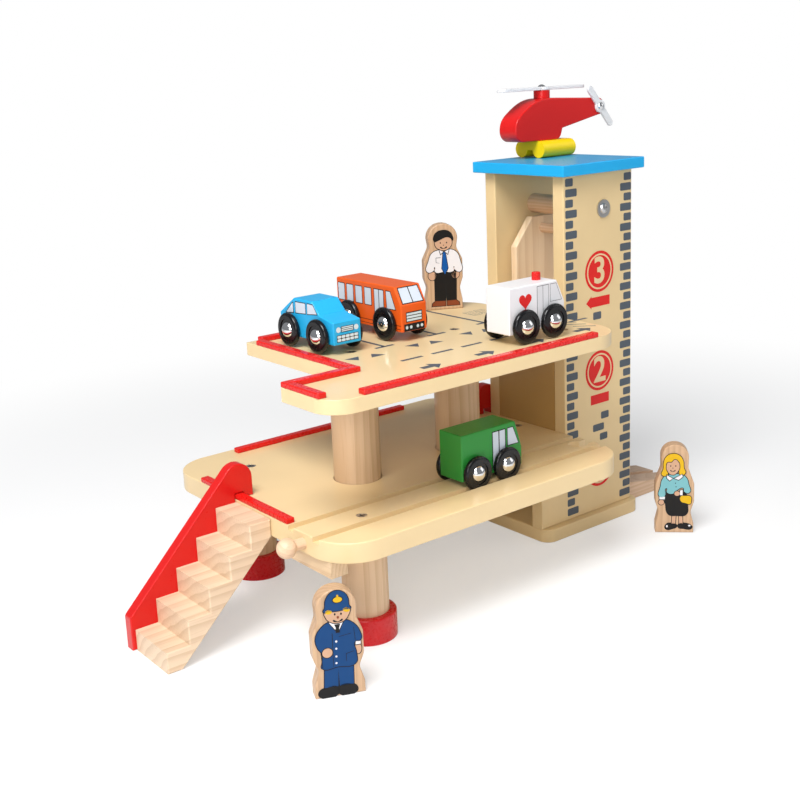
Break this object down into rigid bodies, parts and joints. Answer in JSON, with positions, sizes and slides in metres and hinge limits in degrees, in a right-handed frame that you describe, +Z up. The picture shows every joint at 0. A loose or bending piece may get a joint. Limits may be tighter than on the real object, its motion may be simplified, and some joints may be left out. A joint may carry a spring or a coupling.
{
  "type": "toy parking garage",
  "caption": "Wooden toy parking garage with decks on legs, a hand-cranked lift tower, staircases, a ramp, wheeled toy vehicles, a helicopter on the roof and standing figures.",
  "frame": {"origin": "on the floor, on the middle axis of the lift tower's walls", "axes": "+X along the long edge from the decks to the ramp, +Y from the printed brick face to the crank, +Z up"},
  "size_m": [0.4738, 0.2282, 0.328],
  "materials": {
    "board_tan": "satin lacquer",
    "pine": "clear lacquer",
    "red_wood": "gloss lacquer",
    "roof_blue": "gloss lacquer",
    "wheel_black": "gloss lacquer",
    "hub_chrome": "polished",
    "screw_steel": "zinc plated",
    "van_green": "satin lacquer",
    "ambulance_white": "satin lacquer",
    "car_blue": "satin lacquer",
    "bus_orange": "satin lacquer",
    "heli_red": "gloss lacquer",
    "skid_yellow": "gloss lacquer",
    "rotor_white": "gloss lacquer",
    "figure_wood": "satin lacquer"
  },
  "bodies": {
    "garage": {"base_plate": "board_tan", "front_wall": "board_tan", "rear_wall": "board_tan", "level_two_panel": "board_tan", "roof_board": "roof_blue", "lower_deck": "board_tan", "upper_deck": "board_tan", "lower_curbs": "red_wood", "upper_curbs": "red_wood", "deck_pillars": "pine", "deck_legs": "pine", "foot_rings": "red_wood", "deck_battens": "pine", "track_peg": "pine", "deck_screws": "screw_steel"},
    "lift_car": {"car_side_front": "pine", "car_side_rear": "pine", "car_floor": "pine", "car_dowel": "pine"},
    "winch": {"winch_drum": "pine", "crank_wheel": "red_wood", "crank_handle": "pine", "pivot_screw": "screw_steel", "pivot_washer": "screw_steel"},
    "staircase_left": {"stairs_left": "pine", "stairs_left_side": "red_wood"},
    "staircase_rear": {"stairs_rear": "pine", "stairs_rear_side": "red_wood"},
    "loose_ramp": {"ramp": "pine"},
    "van": {"van_body": "van_green"},
    "ambulance": {"ambulance_body": "ambulance_white", "ambulance_beacon": "red_wood"},
    "blue_car": {"car_body": "car_blue"},
    "bus": {"bus_body": "bus_orange"},
    "helicopter": {"heli_fuselage": "heli_red", "heli_skids": "skid_yellow", "heli_mast": "heli_red", "heli_rotor_pins": "hub_chrome"},
    "main_rotor": {"heli_main_rotor": "rotor_white"},
    "tail_rotor": {"heli_tail_rotor": "rotor_white"},
    "office_figure": {"figure_office": "figure_wood"},
    "shopper_figure": {"figure_shopper": "figure_wood"},
    "police_figure": {"figure_police": "figure_wood"},
    "van_rear_wheels": {"van_wheels_rear": "wheel_black", "van_axle_rear": "hub_chrome"},
    "van_front_wheels": {"van_wheels_front": "wheel_black", "van_axle_front": "hub_chrome"},
    "ambulance_rear_wheels": {"ambulance_wheels_rear": "wheel_black", "ambulance_axle_rear": "hub_chrome"},
    "ambulance_front_wheels": {"ambulance_wheels_front": "wheel_black", "ambulance_axle_front": "hub_chrome"},
    "blue_car_rear_wheels": {"car_wheels_rear": "wheel_black", "car_axle_rear": "hub_chrome"},
    "blue_car_front_wheels": {"car_wheels_front": "wheel_black", "car_axle_front": "hub_chrome"},
    "bus_rear_wheels": {"bus_wheels_rear": "wheel_black", "bus_axle_rear": "hub_chrome"},
    "bus_front_wheels": {"bus_wheels_front": "wheel_black", "bus_axle_front": "hub_chrome"}
  },
  "joints": [
    {"name": "lift_travel", "type": "slide", "parent": "garage", "child": "lift_car", "axis": [0, 0, 1], "range_m": [-0.1468, 0]},
    {"name": "crank_turn", "type": "hinge", "parent": "garage", "child": "winch", "pos_m": [0.0048, 0, 0.2395], "axis": [0, 1, 0], "range_deg": [-1124, 0]},
    {"name": "staircase_left_lift_off", "type": "slide", "parent": "garage", "child": "staircase_left", "axis": [0, 0, 1], "range_m": [0, 0.04]},
    {"name": "staircase_rear_lift_off", "type": "slide", "parent": "garage", "child": "staircase_rear", "axis": [0, 0, 1], "range_m": [0, 0.04]},
    {"name": "ramp_pull_away", "type": "slide", "parent": "garage", "child": "loose_ramp", "axis": [1, 0, 0], "range_m": [0, 0.03]},
    {"name": "van_roll", "type": "slide", "parent": "garage", "child": "van", "axis": [1, 0, 0], "range_m": [-0.11, 0.075]},
    {"name": "van_rear_wheels_turn", "type": "hinge", "parent": "van", "child": "van_rear_wheels", "pos_m": [-0.1559, -0.06335, 0.0872], "axis": [0, 1, 0], "range_deg": [-570, 395]},
    {"name": "van_front_wheels_turn", "type": "hinge", "parent": "van", "child": "van_front_wheels", "pos_m": [-0.1296, -0.06335, 0.0872], "axis": [0, 1, 0], "range_deg": [-570, 395]},
    {"name": "ambulance_roll", "type": "slide", "parent": "garage", "child": "ambulance", "axis": [1, 0, 0], "range_m": [-0.1, 0.033]},
    {"name": "ambulance_rear_wheels_turn", "type": "hinge", "parent": "ambulance", "child": "ambulance_rear_wheels", "pos_m": [-0.1107, -0.064, 0.1767], "axis": [0, 1, 0], "range_deg": [-520, 185]},
    {"name": "ambulance_front_wheels_turn", "type": "hinge", "parent": "ambulance", "child": "ambulance_front_wheels", "pos_m": [-0.0849, -0.064, 0.1767], "axis": [0, 1, 0], "range_deg": [-520, 185]},
    {"name": "blue_car_roll", "type": "slide", "parent": "garage", "child": "blue_car", "axis": [0, -1, 0], "range_m": [-0.008, 0.075]},
    {"name": "blue_car_rear_wheels_turn", "type": "hinge", "parent": "blue_car", "child": "blue_car_rear_wheels", "pos_m": [-0.206, 0.0383, 0.1767], "axis": [1, 0, 0], "range_deg": [-60, 395]},
    {"name": "blue_car_front_wheels_turn", "type": "hinge", "parent": "blue_car", "child": "blue_car_front_wheels", "pos_m": [-0.206, 0.0046, 0.1767], "axis": [1, 0, 0], "range_deg": [-60, 395]},
    {"name": "bus_roll", "type": "slide", "parent": "garage", "child": "bus", "axis": [0, -1, 0], "range_m": [-0.003, 0.075]},
    {"name": "bus_rear_wheels_turn", "type": "hinge", "parent": "bus", "child": "bus_rear_wheels", "pos_m": [-0.1523, 0.043, 0.1767], "axis": [1, 0, 0], "range_deg": [-40, 395]},
    {"name": "bus_front_wheels_turn", "type": "hinge", "parent": "bus", "child": "bus_front_wheels", "pos_m": [-0.1523, 0.0023, 0.1767], "axis": [1, 0, 0], "range_deg": [-40, 395]},
    {"name": "helicopter_lift_off", "type": "slide", "parent": "garage", "child": "helicopter", "axis": [0, 0, 1], "range_m": [0, 0.06]},
    {"name": "main_rotor_spin", "type": "hinge", "parent": "helicopter", "child": "main_rotor", "pos_m": [0.0139, 0.029, 0.3238], "axis": [0, 0, 1], "continuous": true},
    {"name": "tail_rotor_spin", "type": "hinge", "parent": "helicopter", "child": "tail_rotor", "pos_m": [0.0673, 0.019, 0.3091], "axis": [0, 1, 0], "continuous": true},
    {"name": "office_figure_lift_off", "type": "slide", "parent": "garage", "child": "office_figure", "axis": [0, 0, 1], "range_m": [0, 0.05]},
    {"name": "shopper_figure_lift_off", "type": "slide", "parent": "garage", "child": "shopper_figure", "axis": [0, 0, 1], "range_m": [0, 0.05]},
    {"name": "police_figure_lift_off", "type": "slide", "parent": "garage", "child": "police_figure", "axis": [0, 0, 1], "range_m": [0, 0.05]}
  ],
  "couplings": [
    {"joint": "crank_turn", "follows": "lift_travel", "rad_per_m": 133.33},
    {"joint": "van_rear_wheels_turn", "follows": "van_roll", "rad_per_m": 86.957},
    {"joint": "van_front_wheels_turn", "follows": "van_roll", "rad_per_m": 86.957},
    {"joint": "ambulance_rear_wheels_turn", "follows": "ambulance_roll", "rad_per_m": 86.957},
    {"joint": "ambulance_front_wheels_turn", "follows": "ambulance_roll", "rad_per_m": 86.957},
    {"joint": "blue_car_rear_wheels_turn", "follows": "blue_car_roll", "rad_per_m": 86.957},
    {"joint": "blue_car_front_wheels_turn", "follows": "blue_car_roll", "rad_per_m": 86.957},
    {"joint": "bus_rear_wheels_turn", "follows": "bus_roll", "rad_per_m": 86.957},
    {"joint": "bus_front_wheels_turn", "follows": "bus_roll", "rad_per_m": 86.957}
  ]
}
